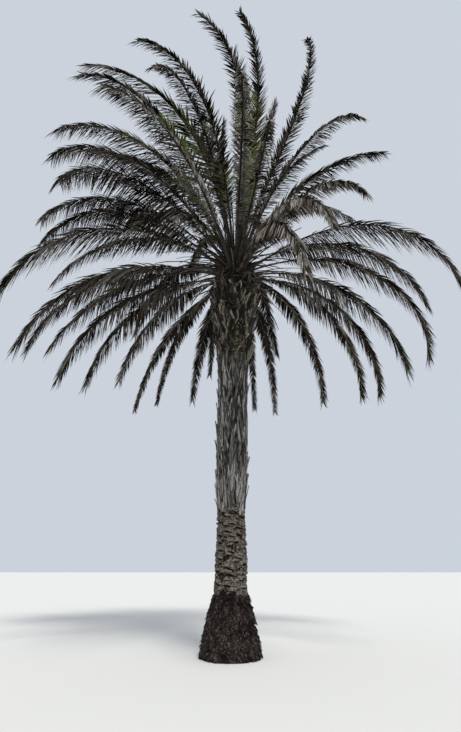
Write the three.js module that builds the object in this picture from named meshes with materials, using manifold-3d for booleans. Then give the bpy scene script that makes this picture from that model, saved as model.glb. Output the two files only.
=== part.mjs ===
// A whole date palm: one leaning trunk with a fibrous root flare, and a crown of dry arching fronds.
// Millimetres and degrees. +Z is up and the origin is the middle of the trunk's flat cut at the ground.
// +X is the viewer's right and -Y is the side towards the viewer.
// A bearing is counted as on a compass: 0 is +Y, away from the viewer, and 90 is +X.

import * as THREE from 'three';
import { mergeVertices } from 'three/addons/utils/BufferGeometryUtils.js';
import Module from 'manifold-3d';

const wasm = await Module();
wasm.setup();

// Driving dimensions of the trunk
const groundRadius = 550;
const flareTop = 1100;
const waistHeight = 2300;
const waistRadius = 264;
const bootsFrom = 2550;
const bootsTo = 7250;
const shoulderHeight = 7600;
const shoulderRadius = 460;
const heartHeight = 8550;
const heartRadius = 150;
const tipHeight = 8640;
const tipRadius = 50;
const leanAtShoulder = 92;
const leanPower = 1.5;
const trunkSides = 16;

// Height and radius of the trunk's core between the ground and its tip
const trunkProfile = [
  [0, groundRadius],
  [220, 520],
  [430, 470],
  [680, 420],
  [900, 352],
  [flareTop, 304],
  [1700, 298],
  [waistHeight, waistRadius],
  [2700, 264],
  [3200, 288],
  [3700, 294],
  [4500, 288],
  [5200, 292],
  [5700, 312],
  [6200, 328],
  [6550, 372],
  [7000, 424],
  [shoulderHeight, shoulderRadius],
  [heartHeight, heartRadius],
  [tipHeight, tipRadius],
];

// Root mass and ringed bark: how uneven each is, and one ledge to each old leaf row
const flareLump = 46;
const barkLump = 14;
const lumpPace = 0.0031;
const ledge = 13;
const ledgePitch = 270;
const ledgeCrest = 0.8;

// Cut leaf bases in one spiral. They are narrow splinters at first and broad boots from broadTo on
const baseCount = 54;
const baseSunk = 55;
const highestBase = 330;
const broadFrom = 0.45;
const broadTo = 0.75;
const narrowBase = { tall: 520, foot: 190, head: 70, standOut: 34 };
const broadBase = { tall: 400, foot: 250, head: 190, standOut: 62 };
const shortestBase = 0.9;
const tallestBase = 1.1;

// The leaf base that was cut long, as its foot and head from the trunk's centre line at stubHeight
const stubHeight = 5850;
const stubFoot = [250, -60, 5700];
const stubHead = [470, -100, 6010];
const stubFootSize = [200, 150];
const stubHeadSize = [130, 95];

// Driving dimensions of the fronds
const startDepth = 90;
const clearGap = 0.42;
const clearFrom = 7000;
const bendGap = 0.8;
const bareShare = 0.16;
const bareSteps = 3;
const leafSteps = 22;
const fineSteps = 8;
const petioleWidth = 66;
const petioleHeight = 46;
const tipWidth = 14;
const ribEasing = 0.6;
const ridgeShare = 0.6;
const lowestRise = -30;
const highestRise = 90;
const rowStagger = 220;
const bendPower = 1.4;
const sideBend = 15;
const tallestArch = 1340;
const pastCrest = -0.25;
const fewestSteps = 6;

// Driving dimensions of the leaflets
const leafLength = 600;
const shortestLeaf = 0.4;
const longestLeafPower = 0.7;
const firstSpread = 52;
const lastSpread = 27;
const uprightLift = 0.2;
const leafHang = 0.6;
const steepestLeaf = 1.2;
const nearestLeaf = 34;

// The crown's whorls, oldest last. Each pair holds the first frond's value and the last frond's.
// rise is the slope at the trunk, bend is how far the rib turns down, sweep is how far it turns aside,
// and roll is how far a frond that grows sideways has turned its upper face from the viewer at its tip.
const whorls = [
  { name: 'spear', rise: [84, 80], bend: [4, -4], sweep: [0, 0], roll: 0, length: [4550, 4550],
    bearings: [35, 290, 120] },
  { name: 'hooked', rise: [51, 46], bend: [91, 104], sweep: [55, 8], roll: 30, length: [5700, 5690],
    bearings: [149, 187, 205] },
  { name: 'leader', rise: [69, 43], bend: [90, 52], sweep: [47, 76], roll: 45, length: [5420, 5270],
    bearings: [161, 169, 202, 225, 231, 240] },
  { name: 'side', rise: [46, 45], bend: [80, 86], sweep: [43, 47], roll: 25, length: [5410, 5490],
    bearings: [258, 262] },
  { name: 'crest', rise: [74, 66], bend: [70, 88], sweep: [0, 0], roll: 0, length: [5200, 5200],
    bearings: [15, 62, 270, 308, 340] },
  { name: 'stiff', rise: [73, 60], bend: [18, 35], sweep: [-23, -28], roll: 20, length: [4830, 4870],
    bearings: [88, 108] },
  { name: 'upper', rise: [46, 38], bend: [109, 102], sweep: [6, 6], roll: 15, length: [5600, 5250],
    bearings: [193, 285, 320, 15, 85] },
  { name: 'middle', rise: [45, 21], bend: [94, 69], sweep: [9, 8], roll: 0, length: [4960, 5700],
    bearings: [151, 177, 196] },
  { name: 'rear', rise: [30, 30], bend: [100, 100], sweep: [0, 0], roll: 0, length: [5500, 5500],
    bearings: [351] },
  { name: 'lower', rise: [20, 18], bend: [91, 90], sweep: [0, 0], roll: 15, length: [5500, 5400],
    bearings: [70, 124, 291, 318, 345] },
  { name: 'arched', rise: [20, 20], bend: [108, 108], sweep: [0, 0], roll: 0, length: [5600, 5600],
    bearings: [8, 16, 36, 53, 61, 92, 279] },
  { name: 'low', rise: [12, 13], bend: [92, 88], sweep: [36, 12], roll: 15, length: [5360, 5700],
    bearings: [233, 267, 291, 304] },
  { name: 'forward', rise: [21, -2], bend: [69, 70], sweep: [17, 0], roll: 0, length: [5070, 5150],
    bearings: [170, 155, 162, 168] },
  { name: 'skirt', rise: [9, 4], bend: [85, 80], sweep: [0, 0], roll: 0, length: [5300, 5300],
    bearings: [331, 323] },
];

const goldenShare = 0.618034;
const goldenTurn = 137.508;
const up = new THREE.Vector3(0, 0, 1);

// Small helpers
const radians = THREE.MathUtils.degToRad;
const mix = THREE.MathUtils.lerp;
const fraction = (value) => value - Math.floor(value);
const compass = (bearing) => new THREE.Vector3(Math.sin(radians(bearing)), Math.cos(radians(bearing)), 0);

// The trunk's centre line leans to the right, more so higher up
function lean(height) {
  return leanAtShoulder * Math.pow(Math.max(height, 0) / shoulderHeight, leanPower);
}

function coreRadius(height) {
  let last = trunkProfile[0];
  for (const next of trunkProfile) {
    if (height <= next[0]) {
      const share = next[0] > last[0] ? (height - last[0]) / (next[0] - last[0]) : 0;
      return mix(last[1], next[1], share);
    }
    last = next;
  }
  return tipRadius;
}

// A closed skin over equal rings, with a fan over each end
function skin(rings) {
  const points = rings.flat();
  const count = rings[0].length;
  const bottom = points.length;
  const top = bottom + 1;
  const middle = (ring) => ring.reduce((sum, p) => sum.add(p), new THREE.Vector3()).divideScalar(count);
  points.push(middle(rings[0]), middle(rings[rings.length - 1]));
  const faces = [];
  const lastRing = (rings.length - 1) * count;
  for (let j = 0; j < count; j++) {
    const k = (j + 1) % count;
    faces.push(bottom, k, j, top, lastRing + j, lastRing + k);
    for (let i = 0; i < lastRing; i += count) {
      faces.push(i + j, i + k, i + count + k, i + j, i + count + k, i + count + j);
    }
  }
  return toGeometry(points, faces);
}

function toGeometry(points, faces) {
  const geometry = new THREE.BufferGeometry();
  geometry.setAttribute('position', new THREE.Float32BufferAttribute(points.flatMap((p) => p.toArray()), 3));
  geometry.setIndex(faces);
  return geometry;
}

function toSolid(geometry) {
  const bare = geometry.clone();
  bare.deleteAttribute('normal');
  bare.deleteAttribute('uv');
  const merged = mergeVertices(bare, 1e-4);
  const mesh = new wasm.Mesh({
    numProp: 3,
    vertProperties: new Float32Array(merged.attributes.position.array),
    triVerts: new Uint32Array(merged.index.array),
  });
  return new wasm.Manifold(mesh);
}

function fromSolid(solid) {
  const mesh = solid.getMesh();
  const geometry = new THREE.BufferGeometry();
  geometry.setAttribute('position', new THREE.BufferAttribute(new Float32Array(mesh.vertProperties), 3));
  geometry.setIndex(Array.from(mesh.triVerts));
  return geometry;
}

// A ring of the trunk, level, round the leaning centre line
function trunkRing(height, radius, unevenness) {
  const ring = [];
  for (let side = 0; side < trunkSides; side++) {
    const angle = (360 / trunkSides) * side;
    const lump = unevenness * (fraction(side * goldenShare + height * lumpPace) - 0.5);
    const point = compass(-angle).multiplyScalar(radius + lump);
    ring.push(point.add(new THREE.Vector3(lean(height), 0, height)));
  }
  return ring;
}

// Root flare, ringed bark with one ledge to each old leaf row, and the smooth core behind the leaf bases
function trunkCore() {
  const rings = [];
  for (const [height, radius] of trunkProfile) {
    if (height < flareTop) rings.push(trunkRing(height, radius, height > 0 ? flareLump : 0));
  }
  for (let height = flareTop; height < bootsFrom; height += ledgePitch) {
    rings.push(trunkRing(height, coreRadius(height) - ledge, barkLump));
    rings.push(trunkRing(height + ledgePitch * ledgeCrest, coreRadius(height) + ledge, barkLump));
  }
  for (const [height, radius] of trunkProfile) {
    if (height > bootsFrom) rings.push(trunkRing(height, radius, 0));
  }
  return skin(rings);
}

// The top of the trunk, grown by the gap that the fronds keep to it
function grownHead() {
  const rings = [];
  rings.push(trunkRing(clearFrom, coreRadius(clearFrom) + clearGap, 0));
  for (const [height, radius] of trunkProfile) {
    if (height > clearFrom) rings.push(trunkRing(height, radius + clearGap, 0));
  }
  rings.push(trunkRing(tipHeight + clearGap, tipRadius + clearGap, 0));
  return toSolid(skin(rings));
}

// A wedge standing on the trunk: its foot is sunk in the core and its head stands out
function leafBase({ bearing, height, tall, foot, head, standOut }) {
  const out = compass(bearing);
  const along = compass(bearing + 90);
  const place = (z, radius, aside) =>
    out.clone().multiplyScalar(radius).addScaledVector(along, aside)
      .add(new THREE.Vector3(lean(z), 0, z));
  const level = (z, inner, outer, width) => [
    place(z, inner, -width / 2),
    place(z, inner, width / 2),
    place(z, outer, width / 2),
    place(z, outer, -width / 2),
  ];
  const footRadius = coreRadius(height);
  const headRadius = coreRadius(height + tall);
  return skin([
    level(height, footRadius - baseSunk, footRadius - baseSunk / 4, foot),
    level(height + tall, headRadius - baseSunk, headRadius + standOut, head),
  ]);
}

// Cut leaf bases in one spiral: long splinters on the grey middle, broad flaring boots under the crown
function leafBases() {
  const bases = [];
  for (let k = 0; k < baseCount; k++) {
    const share = (k + 0.5) / baseCount;
    const broad = THREE.MathUtils.smoothstep(share, broadFrom, broadTo);
    const between = (size) => mix(narrowBase[size], broadBase[size], broad);
    bases.push(leafBase({
      bearing: k * goldenTurn,
      height: mix(bootsFrom, bootsTo - highestBase, share),
      tall: between('tall') * mix(shortestBase, tallestBase, fraction(k * goldenShare)),
      foot: between('foot'),
      head: between('head'),
      standOut: between('standOut'),
    }));
  }
  return bases;
}

// One leaf base was cut long and still stands out to the right
function longStub() {
  const axis = new THREE.Vector3(lean(stubHeight), 0, 0);
  const from = new THREE.Vector3(...stubFoot).add(axis);
  const to = new THREE.Vector3(...stubHead).add(axis);
  const forward = to.clone().sub(from).normalize();
  const aside = new THREE.Vector3().crossVectors(forward, up).normalize();
  const over = new THREE.Vector3().crossVectors(aside, forward);
  const square = (centre, [width, height]) => [[1, 1], [1, -1], [-1, -1], [-1, 1]].map(([x, y]) =>
    centre.clone().addScaledVector(aside, (x * width) / 2).addScaledVector(over, (y * height) / 2));
  return skin([square(from, stubFootSize), square(to, stubHeadSize)]);
}

function makeTrunk() {
  let solid = toSolid(trunkCore());
  for (const base of [...leafBases(), longStub()]) solid = solid.add(toSolid(base));
  return fromSolid(solid);
}

// Every frond of the crown, with its own slope, bend and place in the whorls
function planFronds() {
  const plans = [];
  for (const whorl of whorls) {
    whorl.bearings.forEach((bearing, i) => {
      const share = whorl.bearings.length > 1 ? i / (whorl.bearings.length - 1) : 0;
      const rise = mix(...whorl.rise, share);
      const stagger = (fraction(plans.length * goldenShare) - 0.5) * rowStagger;
      const seat = THREE.MathUtils.clamp((rise - lowestRise) / (highestRise - lowestRise), 0, 1);
      const slope = (shoulderRadius - heartRadius) / (heartHeight - shoulderHeight);
      const height = mix(shoulderHeight, heartHeight, seat) + stagger;
      const radius = mix(shoulderRadius, heartRadius, seat) - stagger * slope;
      plans.push({
        name: `${whorl.name}_frond_${i + 1}`,
        length: mix(...whorl.length, share),
        bearing,
        rise,
        bend: mix(...whorl.bend, share) + sideBend * Math.sin(radians(bearing)),
        sweep: mix(...whorl.sweep, share),
        roll: -whorl.roll * Math.sin(radians(bearing)),
        start: compass(bearing).multiplyScalar(radius).add(new THREE.Vector3(lean(height), 0, height)),
      });
    });
  }
  return plans;
}

// The stations along a frond's rib, with the directions forward, to the right and over
function ribStations(plan) {
  const total = bareSteps + leafSteps;
  const stations = [];
  const point = plan.start.clone();
  let travelled = 0;
  for (let i = 0; i <= total; i++) {
    const share = i < bareSteps
      ? (bareShare * i) / bareSteps
      : bareShare + (1 - bareShare) * ((i - bareSteps) / leafSteps);
    const step = (share - travelled) / fineSteps;
    for (let j = 0; j < fineSteps && step > 0; j++) {
      point.addScaledVector(ribDirection(plan, travelled + step * (j + 0.5)).forward, step * plan.length);
    }
    travelled = share;
    stations.push({ share, point: point.clone(), ...ribDirection(plan, share) });
  }
  stations[0].point.addScaledVector(stations[0].forward, -startDepth);
  return stations;
}

function ribDirection(plan, share) {
  const slope = radians(plan.rise - plan.bend * Math.pow(share, bendPower));
  const bearing = plan.bearing + plan.sweep * share * share;
  const forward = compass(bearing).multiplyScalar(Math.cos(slope)).setZ(Math.sin(slope));
  const right = compass(bearing + 90).applyAxisAngle(forward, -radians(plan.roll * share));
  return { forward, right, over: new THREE.Vector3().crossVectors(right, forward) };
}

// A rib has three edges: a ridge on top and one edge on each side
function ribRing(station, shift) {
  const easing = Math.pow(station.share, ribEasing);
  const width = mix(petioleWidth, tipWidth, easing);
  const depth = mix(petioleHeight, tipWidth, easing);
  const below = depth * (ridgeShare - 1);
  const centre = station.point.clone().addScaledVector(station.forward, shift);
  const at = (x, y) => centre.clone().addScaledVector(station.right, x).addScaledVector(station.over, y);
  return [at(0, depth * ridgeShare), at(width / 2, below), at(-width / 2, below)];
}

// Where the leaflet ends that grows from the rib between two stations, on side -1 or 1. A leaflet that
// would hang through its own rib is turned outwards, until it drops at most steepestLeaf to 1
function leafEnd(from, to, side) {
  const share = (from.share + to.share) / 2;
  const along = (share - bareShare) / (1 - bareShare);
  const length = leafLength * mix(shortestLeaf, 1, Math.sin(Math.PI * Math.pow(along, longestLeafPower)));
  const spread = radians(mix(firstSpread, lastSpread, along));
  const level = Math.hypot(from.forward.x, from.forward.y);
  const reach = from.forward.clone().multiplyScalar(Math.cos(spread))
    .addScaledVector(from.right, side * Math.sin(spread))
    .addScaledVector(from.over, uprightLift * (1 - level))
    .addScaledVector(up, -leafHang * level);
  const missing = -reach.dot(from.over) / steepestLeaf - side * reach.dot(from.right);
  if (missing > 0) reach.addScaledVector(from.right, side * missing);
  return from.point.clone().lerp(to.point, 0.5).addScaledVector(reach.normalize(), length);
}

// Distance between two straight edges a-b and c-d
function edgeDistance(a, b, c, d) {
  const u = b.clone().sub(a);
  const v = d.clone().sub(c);
  const w = a.clone().sub(c);
  const uu = u.dot(u);
  const uv = u.dot(v);
  const vv = v.dot(v);
  const uw = u.dot(w);
  const vw = v.dot(w);
  const spread = uu * vv - uv * uv;
  let s = spread > 1e-9 ? THREE.MathUtils.clamp((uv * vw - vv * uw) / spread, 0, 1) : 0;
  let t = (uv * s + vw) / vv;
  if (t < 0 || t > 1) {
    t = THREE.MathUtils.clamp(t, 0, 1);
    s = THREE.MathUtils.clamp((uv * t - uw) / uu, 0, 1);
  }
  return w.addScaledVector(u, s).addScaledVector(v, -t).length();
}

// The edges that leaflets keep clear of, each with the frond that owns it
const keptEdges = [];

function keepEdge(owner, a, b, radius) {
  keptEdges.push({ owner, a, b, radius, middle: a.clone().lerp(b, 0.5), half: a.distanceTo(b) / 2 });
}

function isClear(owner, a, b) {
  const middle = a.clone().lerp(b, 0.5);
  const half = a.distanceTo(b) / 2;
  for (const edge of keptEdges) {
    if (edge.owner === owner) continue;
    const room = edge.radius + nearestLeaf;
    if (middle.distanceTo(edge.middle) > half + edge.half + room) continue;
    if (edgeDistance(a, b, edge.a, edge.b) < room) return false;
  }
  return true;
}

// The leaflets of one frond that touch no other frond, as "step side" keys with their ends
function growLeaves(plan, stations) {
  const leaves = new Map();
  for (let i = bareSteps; i < stations.length - 1; i++) {
    for (const side of [-1, 1]) {
      const end = leafEnd(stations[i], stations[i + 1], side);
      const roots = [0, 0.5, 1].map((part) => stations[i].point.clone().lerp(stations[i + 1].point, part));
      if (!roots.every((root) => isClear(plan.name, root, end))) continue;
      leaves.set(`${i} ${side}`, end);
      for (const root of roots) keepEdge(plan.name, root, end, 0);
    }
  }
  return leaves;
}

// The closed blade between two stations: ridge, sides, and a pointed leaflet on each side of each step
function blade(stations, leaves, from, to, startShift) {
  const points = [];
  const faces = [];
  for (let i = from; i <= to; i++) points.push(...ribRing(stations[i], i === from ? startShift : 0));
  for (let i = from; i < to; i++) {
    const a = (i - from) * 3;
    const b = a + 3;
    for (const [p, q, side] of [[0, 1, 1], [1, 2, 0], [2, 0, -1]]) {
      const end = leaves.get(`${i} ${side}`);
      if (end) {
        const tip = points.push(end) - 1;
        faces.push(a + p, a + q, tip, a + q, b + q, tip, b + q, b + p, tip, b + p, a + p, tip);
      } else {
        faces.push(a + p, a + q, b + q, a + p, b + q, b + p);
      }
    }
  }
  const last = (to - from) * 3;
  faces.push(0, 2, 1);
  if (to === stations.length - 1) {
    const point = stations[to].point.clone().addScaledVector(stations[to].forward, leafLength * shortestLeaf);
    const tip = points.push(point) - 1;
    faces.push(last, last + 1, tip, last + 1, last + 2, tip, last + 2, last, tip);
  } else {
    faces.push(last, last + 1, last + 2);
  }
  return toGeometry(points, faces);
}

// How far a rib stands above the straight line between its ends
function archHeight(stations) {
  const first = stations[0].point;
  const line = stations[stations.length - 1].point.clone().sub(first).normalize();
  return Math.max(...stations.map(({ point }) => {
    const from = point.clone().sub(first);
    return from.sub(line.clone().multiplyScalar(from.dot(line))).length();
  }));
}

// The station just past a rib's crest, where a high arch is in two pieces across a fine gap
function bendStation(stations) {
  const level = stations.findIndex(({ forward }) => forward.z < pastCrest);
  return THREE.MathUtils.clamp(level, fewestSteps, stations.length - fewestSteps);
}

// Materials
const dryFrond = new THREE.MeshStandardMaterial({ color: 0x4a3f35, roughness: 0.85, metalness: 0 });
const greenFrond = new THREE.MeshStandardMaterial({ color: 0x56602f, roughness: 0.8, metalness: 0 });
const bark = new THREE.MeshStandardMaterial({ color: 0x6d6154, roughness: 0.95, metalness: 0 });

function addPiece(parent, name, geometry, material) {
  const mesh = new THREE.Mesh(geometry, material);
  mesh.name = name;
  parent.add(mesh);
}

function makeCrown(parent) {
  const head = grownHead();
  const plans = planFronds();
  const ribs = plans.map(ribStations);
  plans.forEach((plan, k) => {
    for (let i = 1; i < ribs[k].length; i++) {
      keepEdge(plan.name, ribs[k][i - 1].point, ribs[k][i].point, petioleWidth / 2);
    }
  });
  plans.forEach((plan, k) => {
    const stations = ribs[k];
    const leaves = growLeaves(plan, stations);
    const material = plan.name.startsWith('spear') ? greenFrond : dryFrond;
    const last = stations.length - 1;
    const bend = archHeight(stations) > tallestArch ? bendStation(stations) : last;
    const inner = toSolid(blade(stations, leaves, 0, bend, 0)).subtract(head);
    const innerName = bend < last ? `${plan.name}_inner` : plan.name;
    addPiece(parent, innerName, fromSolid(inner), material);
    if (bend < last) {
      addPiece(parent, `${plan.name}_outer`, blade(stations, leaves, bend, last, bendGap), material);
    }
  });
}

const palm = new THREE.Group();
addPiece(palm, 'trunk', makeTrunk(), bark);
makeCrown(palm);

export default palm;
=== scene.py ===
import math
from typing import NamedTuple

import bpy
import numpy as np
from bpy.props import FloatProperty, FloatVectorProperty, IntProperty, PointerProperty
from bpy.types import Operator, Panel, PropertyGroup
from numpy.random import default_rng
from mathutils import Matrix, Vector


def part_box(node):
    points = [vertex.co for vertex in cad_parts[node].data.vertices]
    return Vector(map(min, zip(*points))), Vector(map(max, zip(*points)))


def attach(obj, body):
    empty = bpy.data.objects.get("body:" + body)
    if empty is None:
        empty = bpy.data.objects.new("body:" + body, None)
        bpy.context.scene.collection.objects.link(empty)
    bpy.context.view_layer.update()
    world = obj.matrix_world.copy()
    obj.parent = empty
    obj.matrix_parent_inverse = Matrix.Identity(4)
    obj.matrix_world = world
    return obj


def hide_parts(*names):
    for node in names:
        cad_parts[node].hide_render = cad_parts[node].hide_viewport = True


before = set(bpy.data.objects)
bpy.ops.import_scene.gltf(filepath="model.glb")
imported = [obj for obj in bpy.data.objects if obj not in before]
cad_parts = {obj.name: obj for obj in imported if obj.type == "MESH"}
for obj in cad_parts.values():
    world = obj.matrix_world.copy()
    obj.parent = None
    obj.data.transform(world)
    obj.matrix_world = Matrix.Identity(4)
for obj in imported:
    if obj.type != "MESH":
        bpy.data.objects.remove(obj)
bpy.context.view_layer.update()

bl_info = {
    "name": "Date palm tree",
    "version": (1, 0, 0),
    "blender": (4, 5, 0),
    "location": "3D View > Sidebar > Palm",
    "description": "Builds a whole date palm: bark, leaf bases, ribs, leaflets and a plain stage",
    "category": "Object",
}

# Metres and degrees. +Z is up, +X is the viewer's right and -Y is the side towards the viewer.
# A bearing is counted as on a compass: 0 is +Y, away from the viewer, and 90 is +X.

TRUNK_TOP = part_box("trunk")[1].z
UP = np.array((0.0, 0.0, 1.0))

# Radius of the trunk's core where the lowest fronds grow and where the youngest ones do
SHOULDER_RADIUS = 0.460
HEART_RADIUS = 0.150

# Height and radius of the core between the ground and the tip of the heart
TRUNK_PROFILE = [
    (0, 0.550), (0.220, 0.520), (0.430, 0.470), (0.680, 0.420), (0.900, 0.352),
    (1.100, 0.304), (1.700, 0.298), (2.300, 0.264), (2.700, 0.264), (3.200, 0.288),
    (3.700, 0.294), (4.500, 0.288), (5.200, 0.292), (5.700, 0.312), (6.200, 0.328),
    (6.550, 0.372), (7.000, 0.424), (7.600, SHOULDER_RADIUS), (8.550, HEART_RADIUS), (8.640, 0.050),
]

# The open fibrous patch between the leaf bases, right of the middle under the crown
PATCH_BEARING = 163
PATCH_HEIGHT = 6.18
PATCH_HALF_TURN = 17
PATCH_HALF_HEIGHT = 0.30

# Leaves grow round the trunk in turns of one golden angle
GOLDEN_SHARE = 0.618034
GOLDEN_TURN = 137.508

# How far apart in height neighbouring fronds are set, and how deep a rib is sunk into the core
FROND_STAGGER = 0.220
RIB_SUNK = 0.09

# How far a leaflet drops below its rib for each step that it goes aside, so none hangs through the rib
STEEPEST_LEAFLET = 1.2

# The first seeds of the fronds' random numbers, counted on by each frond's number
RIB_SEED = 500
LEAFLET_SEED = 900

# The names of the leaflets' colours, in the order of their materials, and which of them are alike
TONES = ("umber", "dark", "taupe", "ash", "straw", "green", "olive")
WEATHERED = slice(2, 5)
PALEST = slice(3, 5)
GREENS = slice(5, 7)

# The faces of one leaflet. Its points are rows of left edge, keel and right edge, and then the tip
BLADE_POINTS = 13
BLADE_QUADS = np.array([(k, k + 1, k + 4, k + 3) for k in (0, 1, 3, 4, 6, 7)])
BLADE_TIPS = np.array([(9, 10, 12), (10, 11, 12)])


class Habit(NamedTuple):
    """How the leaflets of one whorl grow, and how often each tone comes among them.

    reach is their length, hang how far they turn down and fresh how much green they keep, each as a pair
    for the first frond and the last. droop is how far their tips sag, and fringe the share of short ones
    that stand up. tuft is how bushy and pale the last frond is where it bends over.
    """

    reach: tuple
    hang: tuple
    droop: float
    fringe: float
    tones: tuple
    fresh: tuple = (1, 1)
    tuft: float = 0


DRY = (4, 6, 4, 2, 0, 0, 0)
DARK = (4, 6, 5, 2, 0, 0, 0)
GREY = (2, 3, 5, 6, 2, 0, 0)
FADED = (3, 5, 5, 3, 1, 0, 0)
MIXED = (4, 6, 4, 2, 1, 4, 3)
FRESH = (1, 2, 2, 1, 0, 8, 6)


class Whorl(NamedTuple):
    """One ring of fronds. A pair holds the first frond's value and the last frond's.

    rise is the slope at the trunk, bend is how far the rib turns down, sweep how far it turns aside,
    and roll is how far a sideways frond has turned its upper face from the viewer at its tip.
    """

    name: str
    rise: tuple
    bend: tuple
    sweep: tuple
    roll: float
    length: tuple
    bearings: tuple
    habit: Habit


WHORLS = (
    Whorl("spear", (84, 80), (4, -4), (0, 0), 0, (4.55, 4.55), (35, 290, 120),
          Habit((0.8, 0.8), (0.8, 0.8), 0.15, 0.10, FRESH)),
    Whorl("hooked", (51, 46), (91, 104), (55, 8), 30, (5.70, 5.69), (149, 187, 205),
          Habit((0.65, 1.1), (0.4, 0.8), 0.25, 0.15, MIXED, (0.0, 0.4))),
    Whorl("leader", (69, 43), (90, 52), (47, 76), 45, (5.42, 5.27), (161, 169, 202, 225, 231, 240),
          Habit((0.68, 1.60), (0.3, 1.5), 0.30, 0.20, MIXED, (2.4, -1.2))),
    Whorl("side", (46, 45), (80, 86), (43, 47), 25, (5.41, 5.49), (258, 262),
          Habit((1.3, 1.3), (1.4, 1.4), 0.35, 0.25, DARK)),
    Whorl("crest", (74, 66), (70, 88), (0, 0), 0, (5.20, 5.20), (15, 62, 270, 308, 340),
          Habit((1.0, 1.1), (0.8, 1.0), 0.25, 0.15, MIXED)),
    Whorl("stiff", (73, 60), (18, 35), (-23, -28), 20, (4.83, 4.87), (88, 108),
          Habit((0.7, 1.0), (0.8, 0.9), 0.25, 0.30, DRY)),
    Whorl("upper", (46, 38), (109, 102), (6, 6), 15, (5.60, 5.25), (193, 285, 320, 15, 85),
          Habit((0.9, 1.6), (0.8, 1.6), 0.45, 0.20, FADED)),
    Whorl("middle", (45, 21), (94, 69), (9, 8), 0, (4.96, 5.70), (151, 177, 196),
          Habit((0.8, 1.1), (1.0, 1.3), 0.45, 0.20, GREY, tuft=1)),
    Whorl("rear", (30, 30), (100, 100), (0, 0), 0, (5.50, 5.50), (351,),
          Habit((1.0, 1.0), (1.2, 1.2), 0.40, 0.15, DRY)),
    Whorl("lower", (20, 18), (91, 90), (0, 0), 15, (5.50, 5.40), (70, 124, 291, 318, 345),
          Habit((1.5, 1.25), (1.5, 1.4), 0.50, 0.20, FADED)),
    Whorl("arched", (20, 20), (108, 108), (0, 0), 0, (5.60, 5.60), (8, 16, 36, 53, 61, 92, 279),
          Habit((0.9, 1.2), (1.0, 1.4), 0.45, 0.15, DARK)),
    Whorl("low", (12, 13), (92, 88), (36, 12), 15, (5.36, 5.70), (233, 267, 291, 304),
          Habit((1.70, 1.40), (1.5, 1.4), 0.40, 0.20, DARK)),
    Whorl("forward", (21, -2), (69, 70), (17, 0), 0, (5.07, 5.15), (170, 155, 162, 168),
          Habit((0.8, 1.05), (0.8, 1.7), 0.50, 0.15, GREY)),
    Whorl("skirt", (9, 4), (85, 80), (0, 0), 0, (5.30, 5.30), (331, 323),
          Habit((0.75, 0.75), (0.9, 0.9), 0.35, 0.15, DARK)),
)


def length_setting(name, description, default):
    return FloatProperty(name=name, description=description, default=default, unit="LENGTH")


def share_setting(name, description, default):
    return FloatProperty(name=name, description=description, default=default, subtype="FACTOR")


def count_setting(name, description, default):
    return IntProperty(name=name, description=description, default=default)


def colour_setting(name, default):
    return FloatVectorProperty(name=name, description=f"Colour of the {name.lower()}", subtype="COLOR",
                               size=3, min=0, max=1, default=default)


class PalmTrunk(PropertyGroup):
    """Sizes of the trunk's bark, roots and leaf bases."""

    lean: length_setting("Lean", "How far the shoulder stands to the right of the foot", 0.092)
    shoulder_height: length_setting("Shoulder height", "Where the lowest fronds grow", 7.6)
    heart_height: length_setting("Heart height", "Where the youngest fronds grow", 8.55)
    mass_top: length_setting("Root mass top", "Height of the dark root mass", 1.04)
    bark_top: length_setting("Bark top", "Where the ringed bark ends and leaf bases start", 2.55)
    grey_top: length_setting("Grey bases top", "Where weathered bases give way to boots", 5.9)
    boots_top: length_setting("Boots top", "Where the highest cut leaf bases end", 7.5)
    scars: count_setting("Leaf scars", "Old leaf scars on the bark", 140)
    scar_depth: length_setting("Scar depth", "Depth of the crease under a scar's lip", 0.052)
    root_pegs: count_setting("Root pegs", "Short roots that stand out of the root mass", 1100)
    grey_bases: count_setting("Grey leaf bases", "Weathered leaf bases on the middle trunk", 230)
    boots: count_setting("Boots", "Broad cut leaf bases under the crown", 150)
    fibres: count_setting("Fibres", "Strands of the fibre between the leaf bases", 2600)


class PalmCrown(PropertyGroup):
    """Sizes of the fronds."""

    bare_share: share_setting("Bare share", "Part of a frond that carries no leaflets", 0.16)
    leaflet_length: length_setting("Leaflet length", "Length of a frond's longest leaflets", 0.68)
    leaflet_width: length_setting("Leaflet width", "Width of a leaflet's broadest part", 0.033)
    pairs: count_setting("Leaflet pairs", "Pairs of leaflets on each side of a frond", 110)
    petiole_width: length_setting("Stalk width", "Width of a frond's stalk at the trunk", 0.066)
    petiole_height: length_setting("Stalk height", "Height of a frond's stalk at the trunk", 0.046)
    tip_width: length_setting("Rib tip width", "Thickness of the rib at its far end", 0.014)
    spines: count_setting("Spines", "Spines on each side of a frond's bare stalk", 9)
    stalk_share: share_setting("Stalk share", "Part of a rib that is paler stalk", 0.34)
    old_stalks: count_setting("Old stalks", "Broken stalks of lost fronds in the heart", 170)


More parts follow.
